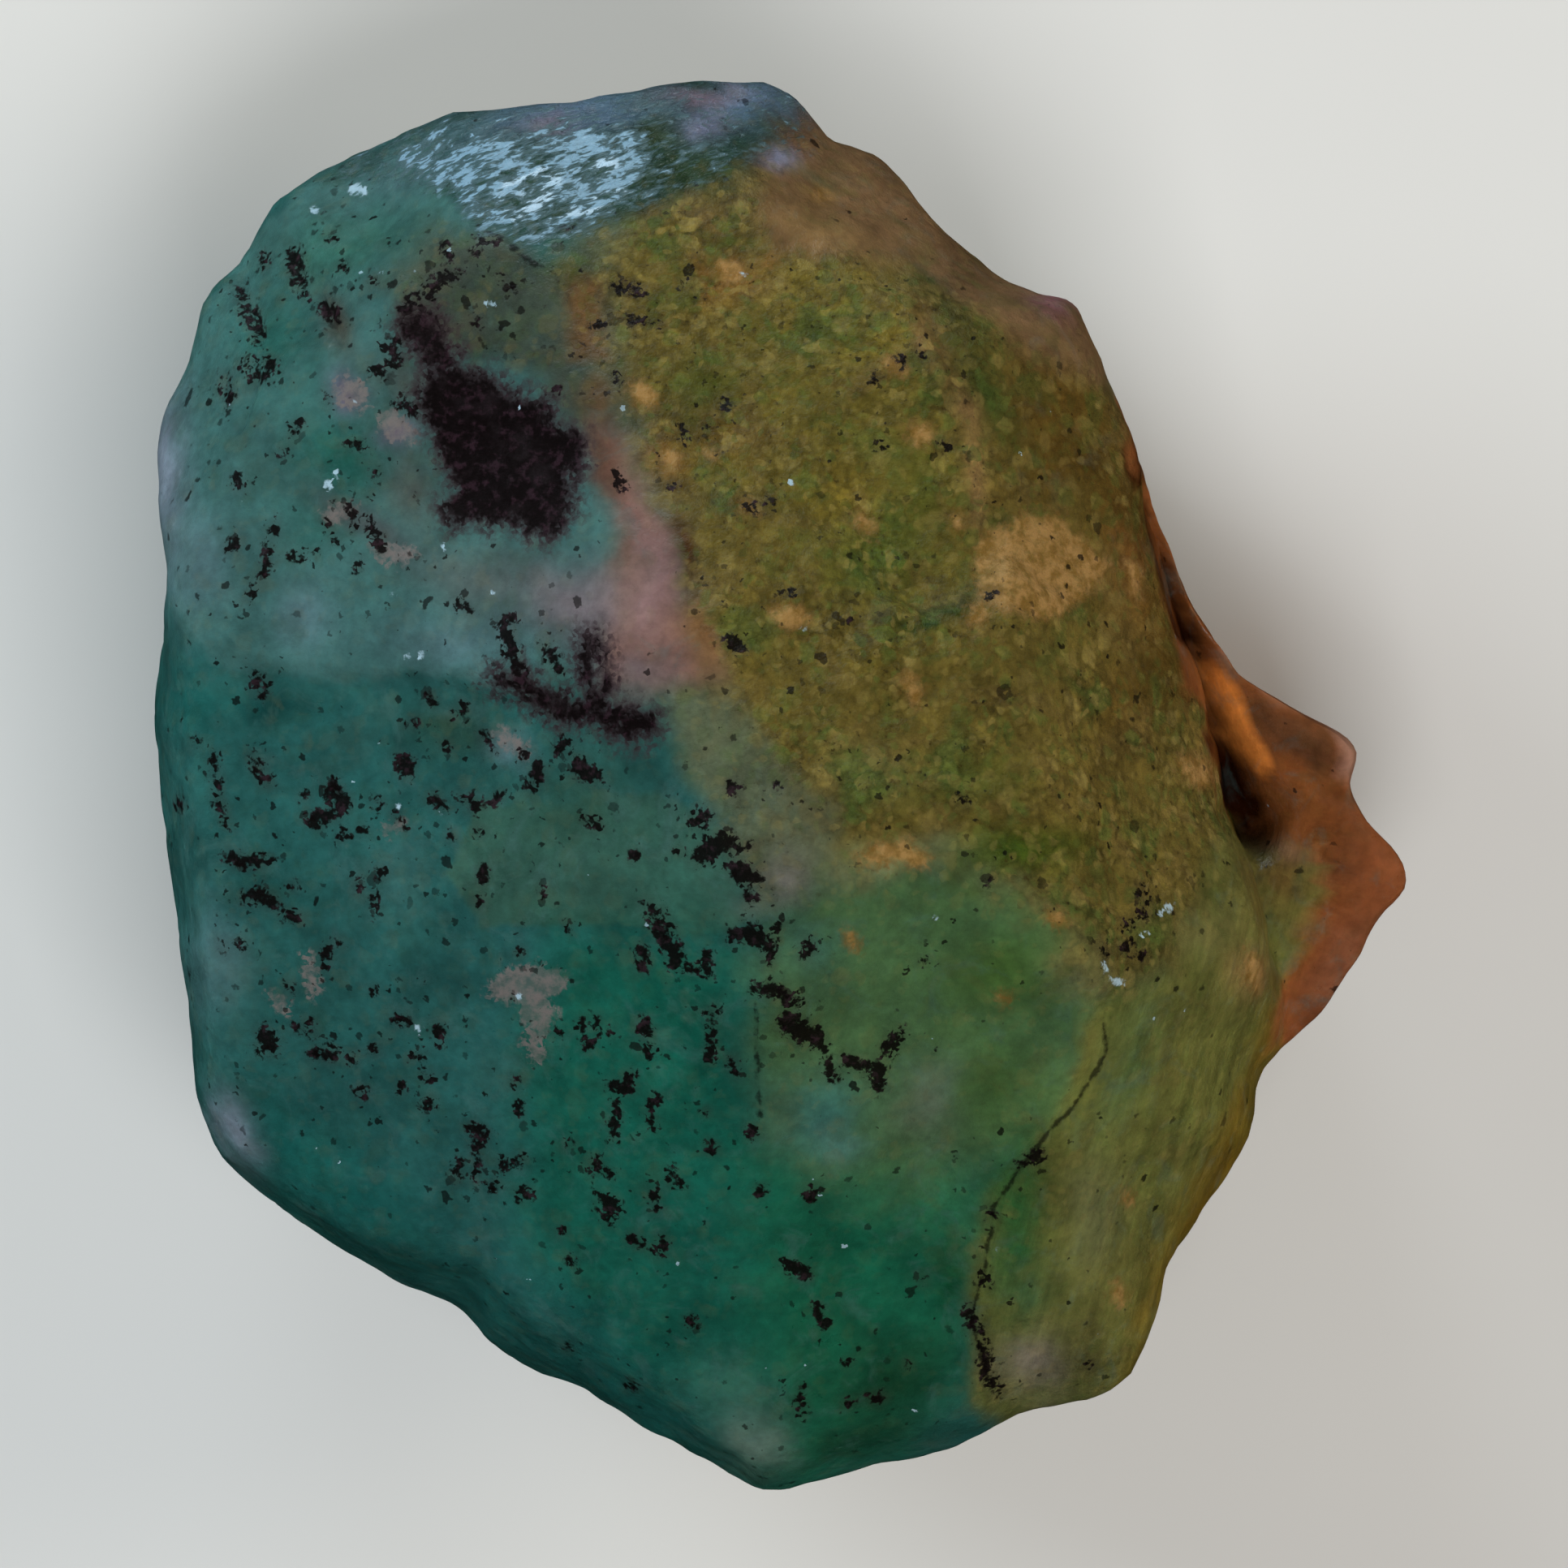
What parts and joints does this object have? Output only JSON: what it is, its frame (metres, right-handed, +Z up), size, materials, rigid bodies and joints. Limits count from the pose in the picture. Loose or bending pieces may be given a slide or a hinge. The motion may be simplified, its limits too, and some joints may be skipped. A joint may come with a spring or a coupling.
{
  "type": "emerald crystal",
  "caption": "Rough emerald lump: a stubby, worn six-sided crystal of cloudy green beryl with black mica flecks, broad faces and a brown side shelf, lying on its flat back",
  "frame": {"origin": "Under the middle of the stone, on the surface that it lies on", "axes": "+Z is up, away from the surface it lies on. +Y is along its length, towards the rippled end face. +X is towards the side shelf."},
  "size_m": [0.0398, 0.0448, 0.0262],
  "materials": {
    "emerald": "Cloudy, waxy to glassy green beryl: blue-green on the left, olive on the right, brown on the side shelf, with black mica flecks. Not a clear stone."
  },
  "bodies": {
    "root": {"emerald_crystal": "emerald"}
  },
  "joints": []
}
